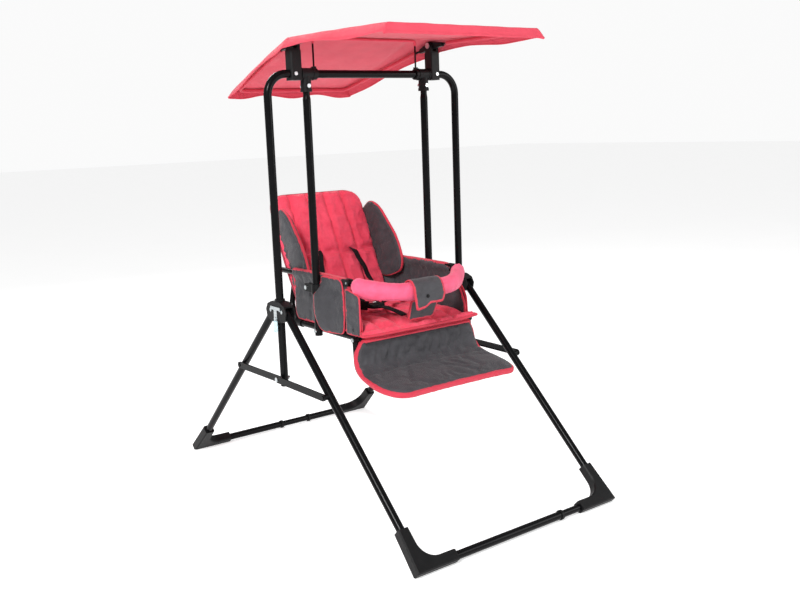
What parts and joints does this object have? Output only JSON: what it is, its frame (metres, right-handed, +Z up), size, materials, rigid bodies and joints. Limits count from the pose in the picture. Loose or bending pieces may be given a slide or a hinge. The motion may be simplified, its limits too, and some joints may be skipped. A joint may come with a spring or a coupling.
{
  "type": "folding baby swing",
  "caption": "Folding baby swing: tube A-frame with sliding leg brackets, hanging padded seat with bumper bar and footrest, and a tilting fabric canopy.",
  "frame": {"origin": "on the floor, midway between the feet and in the plane of the posts", "axes": "+Z up; -Y is the way the seat faces; +X to the right for someone looking at the seat's front. left and right in names are -X and +X"},
  "size_m": [0.707, 1.2434, 1.303],
  "materials": {
    "black_steel": "gloss powder coat",
    "black_plastic": "fine moulded grain",
    "zinc_steel": "zinc plated",
    "clear_film": "pale clear film",
    "pink_fabric": "coated woven polyester, coral pink",
    "bright_pink_fabric": "smooth woven polyester, bright pink",
    "grey_fabric": "coated woven polyester, dark grey, pink binding",
    "black_webbing": "ribbed webbing"
  },
  "bodies": {
    "main_frame": {"top_arch": "black_steel", "posts": "black_steel", "post_end_plugs": "black_plastic", "brace_centre_bolts": "zinc_steel", "canopy_posts": "black_plastic", "canopy_post_fasteners": "zinc_steel", "canopy_prop_hoop": "black_steel", "prop_hoop_clips": "black_plastic"},
    "brackets": {"hinge_brackets": "black_plastic", "leg_pivot_bolts": "zinc_steel"},
    "left_lock": {"left_lock_plate": "zinc_steel", "left_lock_tag": "clear_film"},
    "right_lock": {"right_lock_plate": "zinc_steel"},
    "front_leg_frame": {"front_legs": "black_steel", "front_feet": "black_plastic", "front_floor_bar": "black_steel", "front_bar_spigot": "black_steel", "front_bar_collar": "black_plastic"},
    "rear_leg_frame": {"rear_legs": "black_steel", "rear_feet": "black_plastic", "rear_floor_bars": "black_steel", "rear_bar_joiner": "black_steel", "rear_bar_collars": "black_plastic"},
    "front_left_link": {"front_left_brace": "black_steel"},
    "front_right_link": {"front_right_brace": "black_steel"},
    "rear_left_link": {"rear_left_brace": "black_steel"},
    "rear_right_link": {"rear_right_brace": "black_steel"},
    "swing_seat": {"hanger_fittings": "black_plastic", "hanger_tubes": "black_steel", "hanger_end_plugs": "black_plastic", "hanger_and_arm_bolts": "zinc_steel", "seat_tube": "black_steel", "seat_bolts": "zinc_steel", "backrest_tube": "black_steel", "rear_cross_tube": "black_steel", "rail_elbows": "black_plastic", "arm_tubes": "black_steel", "arm_struts": "black_steel", "arm_clamps": "black_plastic", "arm_joints": "black_plastic", "seat_base": "grey_fabric", "seat_cushion": "pink_fabric", "backrest_pad": "pink_fabric", "left_head_bolster": "grey_fabric", "right_head_bolster": "grey_fabric", "left_side_panel": "grey_fabric", "right_side_panel": "grey_fabric", "arm_flaps": "grey_fabric", "crotch_panel": "grey_fabric", "harness_straps": "black_webbing", "harness_buckle": "black_plastic"},
    "bumper_bar": {"bumper_tube": "black_steel", "bumper_pad": "bright_pink_fabric", "bumper_wrap": "grey_fabric"},
    "footrest": {"footrest_tube": "black_steel", "footrest_pad": "grey_fabric"},
    "canopy": {"canopy_knuckles": "black_plastic", "canopy_front_rod": "black_steel", "canopy_rear_rod": "black_steel", "canopy_cover": "pink_fabric"}
  },
  "joints": [
    {"name": "frame_fold", "type": "slide", "parent": "main_frame", "child": "brackets", "axis": [0, 0, -1], "range_m": [0, 0.1444]},
    {"name": "front_leg_fold", "type": "hinge", "parent": "brackets", "child": "front_leg_frame", "pos_m": [0, -0.03, 0.56], "axis": [1, 0, 0], "range_deg": [0, 46.46]},
    {"name": "rear_leg_fold", "type": "hinge", "parent": "brackets", "child": "rear_leg_frame", "pos_m": [0, 0.03, 0.56], "axis": [-1, 0, 0], "range_deg": [0, 46.46]},
    {"name": "front_left_link_turn", "type": "hinge", "parent": "main_frame", "child": "front_left_link", "pos_m": [-0.345, 0, 0.365], "axis": [1, 0, 0], "range_deg": [0, 82.25]},
    {"name": "front_right_link_turn", "type": "hinge", "parent": "main_frame", "child": "front_right_link", "pos_m": [0.345, 0, 0.365], "axis": [1, 0, 0], "range_deg": [0, 82.25]},
    {"name": "rear_left_link_turn", "type": "hinge", "parent": "main_frame", "child": "rear_left_link", "pos_m": [-0.345, 0, 0.365], "axis": [-1, 0, 0], "range_deg": [0, 82.25]},
    {"name": "rear_right_link_turn", "type": "hinge", "parent": "main_frame", "child": "rear_right_link", "pos_m": [0.345, 0, 0.365], "axis": [-1, 0, 0], "range_deg": [0, 82.25]},
    {"name": "left_lock_pull", "type": "slide", "parent": "brackets", "child": "left_lock", "axis": [-1, 0, 0], "range_m": [0, 0.01], "stiffness_N_per_m": 300},
    {"name": "right_lock_pull", "type": "slide", "parent": "brackets", "child": "right_lock", "axis": [1, 0, 0], "range_m": [0, 0.01], "stiffness_N_per_m": 300},
    {"name": "seat_swing", "type": "hinge", "parent": "main_frame", "child": "swing_seat", "pos_m": [0, 0, 1.2], "axis": [1, 0, 0], "range_deg": [-22, 22]},
    {"name": "bumper_lift", "type": "hinge", "parent": "swing_seat", "child": "bumper_bar", "pos_m": [0, -0.136, 0.634], "axis": [-1, 0, 0], "range_deg": [0, 95]},
    {"name": "footrest_tilt", "type": "hinge", "parent": "swing_seat", "child": "footrest", "pos_m": [0, -0.182, 0.484], "axis": [-1, 0, 0], "range_deg": [0, 50]},
    {"name": "canopy_tilt", "type": "hinge", "parent": "main_frame", "child": "canopy", "pos_m": [0, 0, 1.283], "axis": [1, 0, 0], "range_deg": [-14, 14]}
  ],
  "couplings": [
    {"joint": "front_leg_fold", "follows": "frame_fold", "rad_per_m": 5.6145},
    {"joint": "rear_leg_fold", "follows": "frame_fold", "rad_per_m": 5.6145},
    {"joint": "front_left_link_turn", "follows": "frame_fold", "rad_per_m": 9.94},
    {"joint": "front_right_link_turn", "follows": "frame_fold", "rad_per_m": 9.94},
    {"joint": "rear_left_link_turn", "follows": "frame_fold", "rad_per_m": 9.94},
    {"joint": "rear_right_link_turn", "follows": "frame_fold", "rad_per_m": 9.94}
  ]
}
